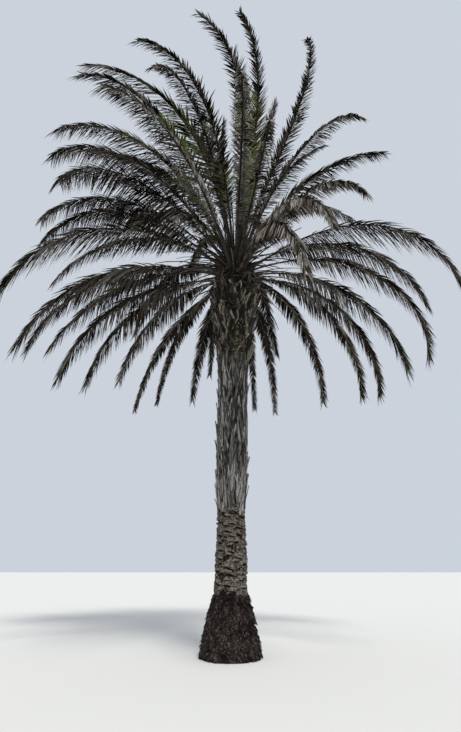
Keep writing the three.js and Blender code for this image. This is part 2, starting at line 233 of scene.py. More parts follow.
class PalmColours(PropertyGroup):
    """Colours of bark and leaflets."""

    root: colour_setting("Root mass", (0.022, 0.015, 0.012))
    root_pale: colour_setting("Root speckle", (0.110, 0.092, 0.080))
    bark: colour_setting("Dark bark", (0.022, 0.017, 0.013))
    bark_mid: colour_setting("Bark", (0.080, 0.067, 0.053))
    bark_pale: colour_setting("Pale bark", (0.215, 0.195, 0.165))
    # Painted shade for the bark's creases and dips, and also the darkest random tone of the root mass
    crease: colour_setting("Painted crease shade and darkest root", (0.005, 0.004, 0.003))
    # Painted shade: the core behind the leaf bases is coloured near-black so the gaps between them read as
    # deep shadow
    core: colour_setting("Painted shade behind the bases", (0.012, 0.010, 0.008))
    grey: colour_setting("Weathered bases", (0.190, 0.182, 0.168))
    boot: colour_setting("Cut leaf bases", (0.064, 0.056, 0.043))
    fibre: colour_setting("Crown fibre", (0.130, 0.104, 0.064))
    rib: colour_setting("Dry ribs", (0.032, 0.026, 0.021))
    stalk: colour_setting("Dry stalks", (0.050, 0.040, 0.031))
    umber: colour_setting("Darkest leaflets", (0.007, 0.005, 0.004))
    dark: colour_setting("Dark leaflets", (0.027, 0.020, 0.015))
    taupe: colour_setting("Taupe leaflets", (0.090, 0.076, 0.062))
    ash: colour_setting("Ash leaflets", (0.190, 0.179, 0.160))
    straw: colour_setting("Straw leaflets", (0.300, 0.287, 0.258))
    green: colour_setting("Green leaflets", (0.175, 0.222, 0.062))
    olive: colour_setting("Olive leaflets", (0.165, 0.165, 0.070))
    floor: colour_setting("Floor", (0.62, 0.62, 0.60))
    sky: colour_setting("Studio light", (0.80, 0.86, 0.95))


# Shader maths and materials


class Value:
    """A socket of a finish. Arithmetic on it adds Math nodes."""

    def __init__(self, finish, socket):
        self.finish = finish
        self.socket = socket

    def maths(self, operation, first, second):
        return self.finish.node("Math", {"operation": operation}, {0: first, 1: second}, 0)

    def __add__(self, other):
        return self.maths("ADD", self, other)

    def __radd__(self, other):
        return self.maths("ADD", other, self)

    def __sub__(self, other):
        return self.maths("SUBTRACT", self, other)

    def __rsub__(self, other):
        return self.maths("SUBTRACT", other, self)

    def __mul__(self, other):
        return self.maths("MULTIPLY", self, other)

    def __rmul__(self, other):
        return self.maths("MULTIPLY", other, self)


class Finish:
    """One material, built from a Principled shader and whatever nodes its pattern needs."""

    def __init__(self, name):
        self.material = bpy.data.materials.new(name)
        self.material.use_nodes = True
        self.tree = self.material.node_tree

    def feed(self, socket, value):
        """Links a value to a socket, or sets a number, vector or colour on it."""
        if isinstance(value, Value):
            self.tree.links.new(value.socket, socket)
        else:
            socket.default_value = (*value, 1) if socket.type == "RGBA" else value

    def node(self, kind, settings, sockets, output):
        """Adds a node: its settings first, and then what feeds its sockets. Gives one of its outputs."""
        made = self.tree.nodes.new(f"ShaderNode{kind}")
        for name, value in settings.items():
            setattr(made, name, value)
        for key, value in sockets.items():
            self.feed(made.inputs[key], value)
        return Value(self, made.outputs[output])

    def place(self, scale=(1, 1, 1)):
        """Object coordinates, stretched."""
        where = self.node("TexCoord", {}, {}, "Object")
        return self.node("Mapping", {}, {"Vector": where, "Scale": scale}, 0)

    def noise(self, scale, detail, roughness=0.55, stretch=(1, 1, 1)):
        where = self.place(stretch)
        sockets = {"Vector": where, "Scale": scale, "Detail": detail, "Roughness": roughness}
        return self.node("TexNoise", {}, sockets, "Fac")

    def ramp(self, value, low, high):
        """0 below low, 1 above high, and smooth between them."""
        sockets = {"Value": value, "From Min": low, "From Max": high}
        return self.node("MapRange", {"interpolation_type": "SMOOTHSTEP"}, sockets, "Result")

    def blend(self, share, first, second):
        """A colour between two colours."""
        return self.node("Mix", {"data_type": "RGBA"}, {0: share, 6: first, 7: second}, 2)

    def bump(self, height, distance):
        return self.node("Bump", {}, {"Height": height, "Strength": 0.9, "Distance": distance}, 0)

    def shaded(self, **inputs):
        """The material, with values or links for the Principled shader's sockets."""
        shader = self.tree.nodes["Principled BSDF"]
        for name, value in inputs.items():
            self.feed(shader.inputs[name.replace("_", " ")], value)
        return self.material


def leaf_finish(name, tone):
    """A dry leaflet: one plain colour, with a roughness that varies."""
    finish = Finish(name)
    rough = 0.60 + 0.36 * finish.noise(14.0, 2.0)
    return finish.shaded(Base_Color=tone, Roughness=rough, Specular_IOR_Level=0.03)


def streaked_finishes(tones, pale, dark, stretch, scale, relief):
    """Wood or fibre in several tones, with streaks along the trunk.

    A tone is multiplied by pale at worn spots and by dark between streaks, a darker grain that is also
    painted shade in the hollows of the bump that the streaks make. stretch is how much longer a streak
    is than wide, and relief how deep the hollows are.
    """
    materials = []
    for name, tone in tones.items():
        finish = Finish(name)
        streaks = finish.noise(scale, 5.0, 0.65, (1, 1, 1 / stretch))
        blotches = finish.noise(5.0, 2.0)
        # Painted shade: the tone times dark lies between the streaks, in the hollows of the bump below
        base = finish.blend(finish.ramp(streaks, 0.36, 0.60), tone * dark, tone)
        worn = finish.blend(finish.ramp(streaks + 0.5 * blotches, 0.80, 0.98), base, tone * pale)
        rough = 0.75 + 0.2 * blotches
        relieved = finish.bump(streaks, relief)
        finish.shaded(Base_Color=worn, Roughness=rough, Specular_IOR_Level=0.25, Normal=relieved)
        materials.append(finish.material)
    return materials


def bark_finish(colours, sizes):
    """Dark root mass and mottled brown-grey bark, both darkened by painted shade in their hollows and
    creases, with the scar lips painted lighter, and a core in near-black painted shade.
    """
    finish = Finish("ringed_bark")
    height = finish.node("SeparateXYZ", {}, {"Vector": finish.place()}, "Z")
    # The painted shade stored on the mesh: high in creases, dips and root hollows, low on scar lips
    painted_shade = finish.node("Attribute", {"attribute_name": "painted_shade"}, {}, "Fac")
    grain = finish.noise(46.0, 4.0, 0.7)
    mottle = finish.noise(19.0, 3.0, 0.6, (1, 1, 1.6))
    edge = height + 0.16 * finish.noise(6.0, 2.0)
    mixed = grain + mottle
    # Painted shade, taken off here, keeps the pale bark out of the creases and puts it on the scar lips
    lit = mixed - 0.20 * painted_shade
    bark = finish.blend(finish.ramp(lit, 0.88, 1.00), colours.bark, colours.bark_mid)
    worn = finish.blend(finish.ramp(lit, 1.02, 1.16), bark, colours.bark_pale)
    root = finish.blend(finish.ramp(mixed, 0.86, 1.02), colours.crease, colours.root)
    speckled = finish.blend(finish.ramp(mixed, 1.06, 1.20), root, colours.root_pale)
    over_roots = finish.ramp(edge, sizes.mass_top + 0.04, sizes.mass_top + 0.12)
    over_bark = finish.ramp(edge, sizes.bark_top + 0.05, sizes.bark_top + 0.20)
    # Above the bark the core takes painted shade, a near-black colour that stands in for the shadow behind
    # the leaf bases
    whole = finish.blend(over_bark, finish.blend(over_roots, speckled, worn), colours.core)
    # Painted shade: the near-black crease colour is laid where the painted shade is deep
    with_painted_shade = finish.blend(finish.ramp(painted_shade, 0.08, 0.45), whole, colours.crease)
    rough = 0.82 + 0.14 * grain
    relieved = finish.bump(mixed, 0.014)
    return finish.shaded(Base_Color=with_painted_shade, Roughness=rough, Specular_IOR_Level=0.2, Normal=relieved)


def floor_finish(tone):
    """The stage's pale floor, with a roughness that varies a little."""
    finish = Finish("pale_floor")
    return finish.shaded(Base_Color=tone, Roughness=0.85 + 0.1 * finish.noise(0.6, 2.0))


# Small helpers on numbers and points


def mix(first, second, share):
    return first + (second - first) * share


def smooth(low, high, value):
    share = np.clip((value - low) / (high - low), 0, 1)
    return share * share * (3 - 2 * share)


def compass(bearing):
    """The level direction, or directions, of a bearing."""
    turn = np.radians(bearing)
    return np.stack([np.sin(turn), np.cos(turn), np.zeros_like(turn)], axis=-1)


def turn_from(middle, bearing):
    """How far a bearing lies to one side of a middle one, between -180 and 180."""
    return (bearing - middle + 180) % 360 - 180


def heading(bearing, slope):
    """The direction, or directions, that climb at a slope along a bearing."""
    climb = np.radians(slope)[..., None]
    return compass(bearing) * np.cos(climb) + UP * np.sin(climb)


def draws(random, count, *ranges):
    """Evenly spread random numbers, an array of them for each range."""
    return [random.uniform(low, high, count) for low, high in ranges]


def spiral(count, random, stray):
    """Bearings in the order in which leaves grow, each one straying a little."""
    return np.arange(count) * GOLDEN_TURN + random.uniform(-stray, stray, count)


def unit(vectors):
    return vectors / np.linalg.norm(vectors, axis=-1, keepdims=True)


def lean(height, sizes):
    """How far right the trunk's centre line stands at a height."""
    return sizes.lean * (np.maximum(height, 0) / sizes.shoulder_height) ** 1.5


def core_radius(height):
    return np.interp(height, *zip(*TRUNK_PROFILE))


def on_trunk(bearing, height, radius, sizes):
    """Points at a bearing, height and distance from the trunk's leaning centre line."""
    points = compass(bearing) * np.asarray(radius)[..., None]
    points[..., 0] += lean(height, sizes)
    points[..., 2] = height
    return points


def lattice(cells, seed):
    """A fixed number between 0 and 1 for each whole-numbered cell."""
    mixed = np.sin(cells @ np.array((127.1, 311.7, 74.7)) + seed * 17.3) * 43758.5453
    return mixed - np.floor(mixed)


def noise(points, scale, seed):
    """Smooth noise between -1 and 1 at each point, from the lattice round it."""
    places = points * scale
    cells = np.floor(places)
    inside = places - cells
    eased = inside * inside * (3 - 2 * inside)
    total = np.zeros(len(points))
    for corner in np.ndindex(2, 2, 2):
        weight = np.prod(np.where(corner, eased, 1 - eased), axis=1)
        total += weight * lattice(cells + corner, seed)
    return total * 2 - 1


# Making pieces


def piece_from_parts(name, parts, materials, tones, is_smooth=False):
    """A mesh object from parts, each of them its points and a list of equal-width arrays of faces.

    tones has one array for each of those arrays in turn, with a material for every face.
    """
    points = []
    faces = []
    for part_points, blocks in parts:
        for block in blocks:
            faces += (block + len(points)).tolist()
        points += part_points.tolist()
    mesh = bpy.data.meshes.new(name)
    mesh.from_pydata(points, [], faces, shade_flat=not is_smooth)
    for material in materials:
        mesh.materials.append(material)
    mesh.polygons.foreach_set("material_index", np.concatenate(tones).astype(np.int32))
    mesh.validate()
    piece = bpy.data.objects.new(name, mesh)
    bpy.context.scene.collection.objects.link(piece)
    return piece


def dealt(name, parts, materials, random, first, last=None):
    """One piece from parts whose shells have equal face counts, with a tone dealt to each shell.

    first and last are how often each tone comes among the first shells of a part and among its last.
    """
    tones = []
    for _, blocks in parts:
        count = len(blocks[1])
        share = np.linspace(0, 1, count)[:, None]
        weights = mix(np.array(first), np.array(last or first), share)
        steps = np.cumsum(weights, axis=1) / weights.sum(axis=1, keepdims=True)
        tone = (random.uniform(0, 1, count)[:, None] > steps[:, :-1]).sum(axis=1)
        tones += [np.repeat(tone, len(block) // count) for block in blocks]
    return piece_from_parts(name, parts, materials, tones)


def finished(piece, slot, *nodes):
    """Puts a piece on the tree's one body and hides the nodes that it stands for. slot is not used."""
    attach(piece, "root")
    if nodes:
        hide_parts(*nodes)


def lofts(rings):
    """Quads and end caps over many closed shells at once. rings is (shells, rows, sides, 3).

    Returns the points and the faces, which point outwards where a ring turns anticlockwise as seen
    from its shell's end.
    """
    index = np.arange(rings[..., 0].size).reshape(rings.shape[:3])
    following = np.roll(index, -1, axis=2)
    quads = np.stack([index[:, :-1], following[:, :-1], following[:, 1:], index[:, 1:]], axis=-1)
    return rings.reshape(-1, 3), [quads.reshape(-1, 4), index[:, -1], index[:, 0, ::-1]]


def outlined(line, aside, over, width, depth, outline):
    """Rings of an outline's points along a line. An outline is given in widths aside and depths over."""
    across, upward = np.array(outline).T[:, :, None]
    across = across * width[..., None, None] * aside[..., None, :]
    upward = upward * depth[..., None, None] * over[..., None, :]
    return line[..., None, :] + across + upward


def curves(roots, first, last, length, steps):
    """Points along curved lines, and the directions there.

    Each line sets off in its first direction and ends in its last one.
    """
    t = np.array(steps)[None, :, None]
    first = first[:, None]
    last = last[:, None]
    line = roots[:, None] + length[:, None, None] * (first * (t - t * t / 2) + last * (t * t / 2))
    return line, unit(first * (1 - t) + last * t)


def strands(roots, first, last, length, thick, steps, taper, sides):
    """Curved tapering rods. taper is how thick a rod is at each of its steps."""
    line, along = curves(roots, first, last, length, steps)
    aside = unit(np.cross(along, UP + 0.01))
    over = np.cross(aside, along)
    angle = (-np.arange(sides) * 2 * math.pi / sides)[None, None, :, None]
    size = (thick[:, None] * np.array(taper))[:, :, None, None]
    rings = line[:, :, None] + size * (np.cos(angle) * aside[:, :, None] + np.sin(angle) * over[:, :, None])
    rings[..., 2] = np.maximum(rings[..., 2], 0.002)
    return lofts(rings)


def deselect():
    bpy.ops.object.select_all(action="DESELECT")


def apply_modifier(piece, kind, **settings):
    """Adds a modifier to the active piece and applies it."""
    modifier = piece.modifiers.new("shaping", kind)
    for name, value in settings.items():
        setattr(modifier, name, value)
    bpy.ops.object.modifier_apply(modifier=modifier.name)


def refine(piece, levels):
    """Splits every face evenly, with no rounding."""
    apply_modifier(piece, "SUBSURF", subdivision_type="SIMPLE", levels=levels, render_levels=levels)


def read_points(piece, what="co"):
    """The places of a mesh's points, or their normals."""
    values = np.zeros(len(piece.data.vertices) * 3)
    piece.data.vertices.foreach_get(what, values)
    return values.reshape(-1, 3)


def move_points(piece, points):
    piece.data.vertices.foreach_set("co", points.astype(np.float32).ravel())
    piece.data.update()


# Trunk


def stacked_column(heights, sizes, sides):
    """A closed column made ring by ring: a disc is extruded, moved and resized at each height."""
    deselect()
    radii = core_radius(heights)
    centres = lean(heights, sizes)
    bpy.ops.mesh.primitive_circle_add(vertices=sides, radius=radii[0], fill_type="NGON", location=(0, 0, 0))
    bpy.ops.object.mode_set(mode="EDIT")
    bpy.ops.mesh.select_all(action="SELECT")
    for i in range(1, len(heights)):
        shift = (centres[i] - centres[i - 1], 0, heights[i] - heights[i - 1])
        bpy.ops.mesh.extrude_region_move(TRANSFORM_OT_translate={"value": shift})
        scale = radii[i] / radii[i - 1]
        middle = (centres[i], 0, heights[i])
        bpy.ops.transform.resize(value=(scale, scale, 1), center_override=middle)
    bpy.ops.mesh.select_all(action="SELECT")
    bpy.ops.mesh.normals_make_consistent(inside=False)
    bpy.ops.object.mode_set(mode="OBJECT")
    return bpy.context.object


def scar_relief(bearing, height, sizes, random):
    """Lips and creases of the old leaf scars: short, crooked and scattered up one spiral."""
    lips = np.zeros(len(height))
    creases = np.zeros(len(height))
    radius = core_radius(height)
    lowest = sizes.mass_top - 0.05
    highest = sizes.bark_top + 0.15
    for k in range(sizes.scars):
        middle = mix(lowest, highest, k / sizes.scars) + random.normal(0, 0.018)
        centre = k * GOLDEN_TURN + random.normal(0, 9)
        wide = random.uniform(0.040, 0.105)
        tilt = random.normal(0.08, 0.16)
        bow = random.uniform(-1.5, 3.0)
        strength = random.uniform(0.45, 1.0)
        deep = random.uniform(0.010, 0.023)
        aside = np.radians(turn_from(centre, bearing)) * radius
        rise = height - middle - tilt * aside + bow * aside * aside
        across = np.exp(-((aside / wide) ** 4)) * strength
        above = np.where(rise > 0, np.exp(-np.maximum(rise, 0) / 0.05), np.exp(-((rise / 0.010) ** 2)))
        lips = np.maximum(lips, across * above)
        creases = np.maximum(creases, across * np.exp(-(((rise + deep * 1.4) / deep) ** 2)))
    return lips, creases


def press_relief(column, sizes):
    """Moves the column's skin in and out: lumpy roots, scarred bark and a grooved core. It also stores the
    painted shade that the bark's colour reads.
    """
    points = read_points(column)
    height = points[:, 2]
    from_axis = points - np.stack([lean(height, sizes), 0 * height, height], axis=1)
    bearing = np.degrees(np.arctan2(from_axis[:, 0], from_axis[:, 1]))
    radius = np.linalg.norm(from_axis[:, :2], axis=1)
    ragged = height + 0.10 * noise(points, 3.5, 1) + 0.05 * noise(points, 9, 8)
    rooted = 1 - smooth(sizes.mass_top - 0.05, sizes.mass_top + 0.05, ragged)
    barked = (1 - rooted) * (1 - smooth(sizes.bark_top, sizes.bark_top + 0.20, height))
    lumps = 0.026 * noise(points, 4.5, 2) + 0.024 * noise(points, 12, 3) + 0.018 * noise(points, 30, 4)
    crumbs = 0.014 * noise(points, 11, 9) + 0.013 * noise(points, 24, 5) + 0.008 * noise(points, 50, 6)
    lips, creases = scar_relief(bearing, height, sizes, default_rng(5))
    scarred = 0.018 * lips - sizes.scar_depth * creases + crumbs
    grooves = 0.010 * noise(points * (1, 1, 0.15), 30, 7) - 0.012
    out = rooted * (lumps - 0.004) + barked * scarred + (1 - rooted - barked) * grooves
    share = np.clip(radius / core_radius(height), 0, 1) ** 6
    outward = from_axis * (1, 1, 0) / np.maximum(radius, 1e-6)[:, None]
    # Painted shade for the bark's colour: deep between the root lumps, in the scar creases and in small
    # dips, and below zero on the scar lips, which is painted light
    dips = smooth(-0.002, -0.022, crumbs) * 0.7
    painted_shade = rooted * smooth(0.006, -0.030, lumps) + barked * (np.maximum(creases, dips) - 0.9 * lips)
    store = column.data.attributes.new("painted_shade", "FLOAT", "POINT")
    store.data.foreach_set("value", painted_shade.astype(np.float32))
    move_points(column, points + outward * (out * share)[:, None])


def pegs(sizes, random):
    """Short tapering roots all round the root mass, most of them pointing down."""
    bearing, share, length, thick, turned, down = draws(
        random, sizes.root_pegs, (0, 360), (0.04, 1.0), (0.05, 0.10), (0.007, 0.014), (-40, 40), (0.5, 2.2)
    )
    height = sizes.mass_top * share
    root = on_trunk(bearing, height, core_radius(height) - 0.015, sizes)
    away = compass(bearing + turned)
    first = unit(away - 0.3 * down[:, None] * UP)
    last = unit(away - 1.6 * down[:, None] * UP)
    return strands(root, first, last, length, thick, (0, 0.4, 0.75, 1), (1, 0.95, 0.7, 0.2), sides=5)


def open_patch(bearing, height):
    """True inside the open fibrous patch."""
    aside = turn_from(PATCH_BEARING, bearing) / PATCH_HALF_TURN
    return aside**2 + ((height - PATCH_HEIGHT) / PATCH_HALF_HEIGHT) ** 2 < 1


def planks(bearing, height, tall, foot, head, thick, lift, drift, sizes, seed):
    """Tapering planks that stand on the trunk: a pointed foot and a ragged head that stands out.

    foot and head are widths, lift is how far the head stands out, drift how far it leans aside.
    """
    outline = ((-0.5, -0.2), (-0.36, 0.8), (-0.08, 1.0), (0.24, 0.9), (0.5, -0.1), (0.0, -0.9))
    t = np.linspace(0, 1, 8)[None, :]
    level = height[:, None] + tall[:, None] * t
    width = mix(foot[:, None], head[:, None], t**0.8) * mix(0.25, 1.0, smooth(0, 0.25, t))
    stand = lift[:, None] * t**1.7
    aside = drift[:, None] * t
    depth = thick[:, None] * mix(1.0, 0.5, t)
    middle = bearing[:, None] + np.degrees(aside / core_radius(level))
    out = compass(middle)
    along = compass(middle + 90)
    base = on_trunk(middle, level, core_radius(level) + stand, sizes)
    rings = outlined(base, along, out, width, depth, outline)
    flat = rings.reshape(-1, 3)
    outward = out.repeat(len(outline), axis=1).reshape(-1, 3)
    wobble = noise(flat * (1, 1, 0.35), 34, seed)[:, None] * 0.005 * outward
    rings = (flat + wobble).reshape(rings.shape)
    ragged = noise(rings[:, -1].reshape(-1, 3), 60, seed + 1).reshape(-1, len(outline))
    rings[:, -1, :, 2] += 0.035 * ragged
    return lofts(rings[:, :, ::-1])


def strips(bearing, height, split, gap):
    """The strips that leaf bases are split into: their number, place aside and bearings."""
    for j in range(split):
        aside = (j - (split - 1) / 2) * gap
        yield j, aside, bearing + np.degrees(aside / core_radius(height))


def grey_bases(sizes, random):
    """Weathered leaf bases, each split from its top into splinters."""
    count = sizes.grey_bases
    share = (np.arange(count) + random.uniform(0, 1, count)) / count
    bearing = spiral(count, random, stray=6)
    height = mix(sizes.bark_top - 0.08, sizes.grey_top - 0.10, share)
    parts = []
    for j, aside, turned in strips(bearing, height, split=4, gap=0.050):
        tall, foot, head, thick = draws(
            random, count, (0.26, 0.62), (0.030, 0.095), (0.008, 0.034), (0.012, 0.028)
        )
        lift, chance = draws(random, count, (0.004, 0.034), (0, 1))
        lift += 0.045 * (chance > 0.93)
        drift = aside * 0.9 + random.normal(0, 0.034, count)
        low = height + random.uniform(-0.09, 0.06, count)
        parts.append(planks(turned, low, tall, foot, head, thick, lift, drift, sizes, seed=j))
    return parts


def broad_bases(sizes, random):
    """Broad cut leaf bases that flare up and out under the crown, in fluted strips that fan out."""
    count = sizes.boots
    share = (np.arange(count) + 0.5) / count
    bearing = spiral(count, random, stray=5)
    height = mix(sizes.grey_top - 0.25, sizes.boots_top - 0.30, share)
    kept = ~open_patch(bearing, height + 0.2)
    bearing, height, share = bearing[kept], height[kept], share[kept]
    count = len(bearing)
    tall, flare = draws(random, count, (0.38, 0.60), (0.6, 1.3))
    lift = mix(0.085, 0.130, share) * flare
    crossing = np.where(np.arange(count) % 2, 0.13, -0.13)
    parts = []
    for j, aside, turned in strips(bearing, height, split=3, gap=0.066):
        foot, head, thick = draws(random, count, (0.040, 0.080), (0.020, 0.070), (0.020, 0.044))
        drift = aside * 1.6 + crossing + random.normal(0, 0.045, count)
        top = tall * random.uniform(0.75, 1.12, count)
        parts.append(planks(turned, height, top, foot, head, thick, lift, drift, sizes, seed=10 + j))
    return parts


def fibre_strands(sizes, random):
    """Strands of fibre between the boots and round the heart, and a thick tangle in the open patch."""
    count = sizes.fibres
    bearing, height = draws(random, count, (0, 360), (sizes.grey_top, sizes.shoulder_height + 0.45))
    in_patch = np.arange(count) < count // 5
    bearing = np.where(in_patch, PATCH_BEARING + random.normal(0, 7, count), bearing)
    height = np.where(in_patch, PATCH_HEIGHT + random.normal(0, 0.15, count), height)
    root = on_trunk(bearing, height, core_radius(height) + 0.01, sizes)
    chance, climb, fall, length, thick = draws(
        random, count, (0, 1), (-0.5, 1.2), (-0.6, 0.9), (0.08, 0.22), (0.003, 0.007)
    )
    climb[in_patch] *= 0.5
    length[in_patch] *= 0.7
    thick[in_patch] *= 2.2
    side = compass(bearing + np.where(chance > 0.5, 90, -90))
    first = unit(compass(bearing) * 0.55 + side + UP * climb[:, None])
    last = unit(side * 0.6 - UP * fall[:, None])
    return strands(root, first, last, length, thick, (0, 0.35, 0.7, 1), (1, 0.9, 0.7, 0.3), sides=4)


def long_stub(sizes, material):
    """The one leaf base that was cut long: a bent trough, thick at the trunk and cut at its end."""
    block = (0.18, 0.19, 0.12)
    foot = (float(lean(5.85, sizes)) + 0.27, -0.070, 5.73)
    slant = math.atan2(0.31, 0.22)
    deselect()
    bpy.ops.mesh.primitive_cube_add(size=1, location=(0, 0, 0))
    stub = bpy.context.object
    bpy.ops.object.mode_set(mode="EDIT")
    bpy.ops.mesh.select_all(action="SELECT")
    bpy.ops.transform.resize(value=block, center_override=(0, 0, 0))
    select_facing(stub, "x")
    for width, height in ((0.86, 0.9), (0.86, 0.85), (0.95, 0.8)):
        bpy.ops.mesh.extrude_region_move(TRANSFORM_OT_translate={"value": (0.10, 0, 0.012)})
        bpy.ops.transform.resize(value=(1, width, height))
    select_facing(stub, "z")
    bpy.ops.mesh.inset(thickness=0.022, depth=-0.016)
    bpy.ops.mesh.select_all(action="SELECT")
    bpy.ops.transform.rotate(value=slant, orient_axis="Y", center_override=(0, 0, 0))
    bpy.ops.transform.translate(value=foot)
    bpy.ops.object.mode_set(mode="OBJECT")
    apply_modifier(stub, "BEVEL", width=0.010, segments=2)
    refine(stub, levels=3)
    points = read_points(stub)
    frayed = 0.007 * noise(points, 30, 40) + 0.004 * noise(points, 70, 41)
    move_points(stub, points + read_points(stub, "normal") * frayed[:, None])
    stub.data.materials.append(material)
    stub.name = "long_stub"
    return stub


def select_facing(piece, axis):
    """Selects, in edit mode, the faces that look along an axis."""
    bpy.ops.mesh.select_mode(type="FACE")
    bpy.ops.mesh.select_all(action="DESELECT")
    bpy.ops.object.mode_set(mode="OBJECT")
    for face in piece.data.polygons:
        face.select = getattr(face.normal, axis) > 0.8
    bpy.ops.object.mode_set(mode="EDIT")


# Crown


class Frond(NamedTuple):
    """One frond, with its own values of its whorl's habit.

    behind is 1 for a frond that grows straight away from the viewer and 0 for one at the side or front.
    rib holds the rib's points at some shares of its length, and its directions forward, to the right
    and over it.
    """

    whorl: Whorl
    number: int
    length: float
    reach: float
    hang: float
    behind: float
    fresh: float
    tuft: float
    shares: np.ndarray
    rib: tuple


def rib_direction(rise, bend, bearing, sweep, roll, share):
    """The rib's directions forward, to its right and over it, at shares of its length."""
    turned = bearing + sweep * share * share
    forward = heading(turned, rise - bend * share**1.4)
    level = compass(turned + 90)
    upright = np.cross(level, forward)
    rolled = np.radians(roll * share)[:, None]
    right = level * np.cos(rolled) + upright * np.sin(rolled)
    return forward, right, np.cross(right, forward)


def seat_of(rise, sizes):
    """Height and radius at which a stalk of this slope grows from the heart."""
    share = np.clip((rise + 30) / 120, 0, 1)
    height = mix(sizes.shoulder_height, sizes.heart_height, share)
    return height, mix(SHOULDER_RADIUS, HEART_RADIUS, share)


def grow_frond(whorl, i, number, sizes):
    """The rib of a whorl's frond, by the rule that the solid frond follows."""
    share = i / max(len(whorl.bearings) - 1, 1)
    rise = mix(*whorl.rise, share)
    bearing = whorl.bearings[i]
    bend = mix(*whorl.bend, share) + 15 * math.sin(math.radians(bearing))
    sweep = mix(*whorl.sweep, share)
    roll = -whorl.roll * math.sin(math.radians(bearing))
    length = mix(*whorl.length, share)
    stagger = ((number * GOLDEN_SHARE) % 1 - 0.5) * FROND_STAGGER
    slope = (SHOULDER_RADIUS - HEART_RADIUS) / (sizes.heart_height - sizes.shoulder_height)
    height, radius = seat_of(rise, sizes)
    start = on_trunk(bearing, height + stagger, radius - stagger * slope, sizes)
    steps = 200
    shares = np.linspace(0, 1, steps + 1)
    middles = (shares[1:] + shares[:-1]) / 2
    strides = rib_direction(rise, bend, bearing, sweep, roll, middles)[0] * length / steps
    points = start + np.concatenate([np.zeros((1, 3)), np.cumsum(strides, axis=0)])
    rib = (points, *rib_direction(rise, bend, bearing, sweep, roll, shares))
    behind = max(math.cos(math.radians(bearing)), 0) ** 4
    reach = mix(*whorl.habit.reach, share) * (1 - 0.42 * behind)
    hang = mix(*whorl.habit.hang, share) * (1 - 0.40 * behind)
    fresh = max(mix(*whorl.habit.fresh, share), 0)
    tuft = whorl.habit.tuft * share
    return Frond(whorl, number, length, reach, hang, behind, fresh, tuft, shares, rib)


def all_fronds(sizes):
    places = [(whorl, i) for whorl in WHORLS for i in range(len(whorl.bearings))]
    return [grow_frond(whorl, i, number, sizes) for number, (whorl, i) in enumerate(places)]


def rib_at(frond, share):
    """The rib's points and its directions forward, right and over, at any shares of its length."""
    return [
        np.stack([np.interp(share, frond.shares, axis) for axis in values.T], axis=1) for values in frond.rib
    ]


def rib_size(share, crown):
    """Width and depth of a rib."""
    easing = share**0.6
    width = mix(crown.petiole_width, crown.tip_width, easing)
    depth = mix(crown.petiole_height, crown.tip_width, easing)
    return width, depth


def rib_shell(frond, crown):
    """The rib as one closed shell: broad at the trunk, ridged above and rounded below."""
    share = np.linspace(0, 1, 61) ** 1.2
    width, depth = rib_size(share, crown)
    flare = 1 + 1.1 * np.exp(-share * frond.length / 0.20)
    point, forward, right, over = rib_at(frond, share)
    point[0] -= forward[0] * RIB_SUNK
    outline = (
        (0, 0.6), (0.34, 0.22), (0.5, -0.25), (0.26, -0.42), (-0.26, -0.42), (-0.5, -0.25), (-0.34, 0.22)
    )
    return lofts(outlined(point, right, over, width * flare, depth, outline)[None])


def spine_blades(frond, crown, random):
    """Stiff spines on the bare stalk, where the lowest leaflets have turned hard."""
    count = crown.spines * 2
    side = np.where(np.arange(count) % 2, 1, -1)
    share, away, lift, stretch = draws(
        random, count, (0.055, crown.bare_share + 0.02), (0.5, 0.9), (-0.2, 0.5), (0.7, 1.2)
    )
    point, forward, right, over = rib_at(frond, share)
    width, _ = rib_size(share, crown)
    root = point + right * (side * width * 0.45)[:, None]
    first = unit(forward * 0.8 + right * (side * away)[:, None] + over * lift[:, None])
    length = mix(0.07, 0.26, (share - 0.055) / (crown.bare_share - 0.035)) * stretch
    thick = np.full(count, 0.0045)
    return strands(root, first, first, length, thick, (0, 0.6, 1), (1, 0.7, 0.15), sides=4)


def rib_parts(frond, crown):
    """A frond's rib, with its paler stalk, and its spines."""
    rib = rib_shell(frond, crown)
    spines = spine_blades(frond, crown, default_rng(RIB_SEED + frond.number))
    tones = [np.zeros(len(block), int) for block in (*rib[1], *spines[1])]
    tones[0][: int(len(tones[0]) * crown.stalk_share)] = 1
    return [rib, spines], tones


def tuft_at(frond, along):
    """How bushy and pale a frond is at places along its leaflets."""
    return frond.tuft * np.exp(-(((along - 0.28) / 0.13) ** 2))


def deal_tones(frond, along, side, random):
    """A tone for each leaflet, dealt out by spray, with green kept to the middle of each frond."""
    sprays = 13
    runs = (along * sprays + random.uniform(0, 1)).astype(int) * 2 + (side > 0)
    weights = np.array(frond.whorl.habit.tones, float)
    weights[WEATHERED] *= 1 - 0.85 * frond.behind
    tones = np.zeros(len(along), int)
    for run in np.unique(runs):
        chosen = runs == run
        near = weights.copy()
        middle = along[chosen].mean()
        within = float(smooth(0.02, 0.15, middle) * (1 - smooth(0.45, 0.62, middle)))
        near[GREENS] *= 3.0 * frond.fresh * within
        near[PALEST] *= 1 + 8 * float(tuft_at(frond, middle))
        usual = random.choice(len(near), p=near / near.sum())
        stray = random.choice(len(near), chosen.sum(), p=near / near.sum())
        tones[chosen] = np.where(random.uniform(0, 1, chosen.sum()) < 0.5, usual, stray)
    return tones


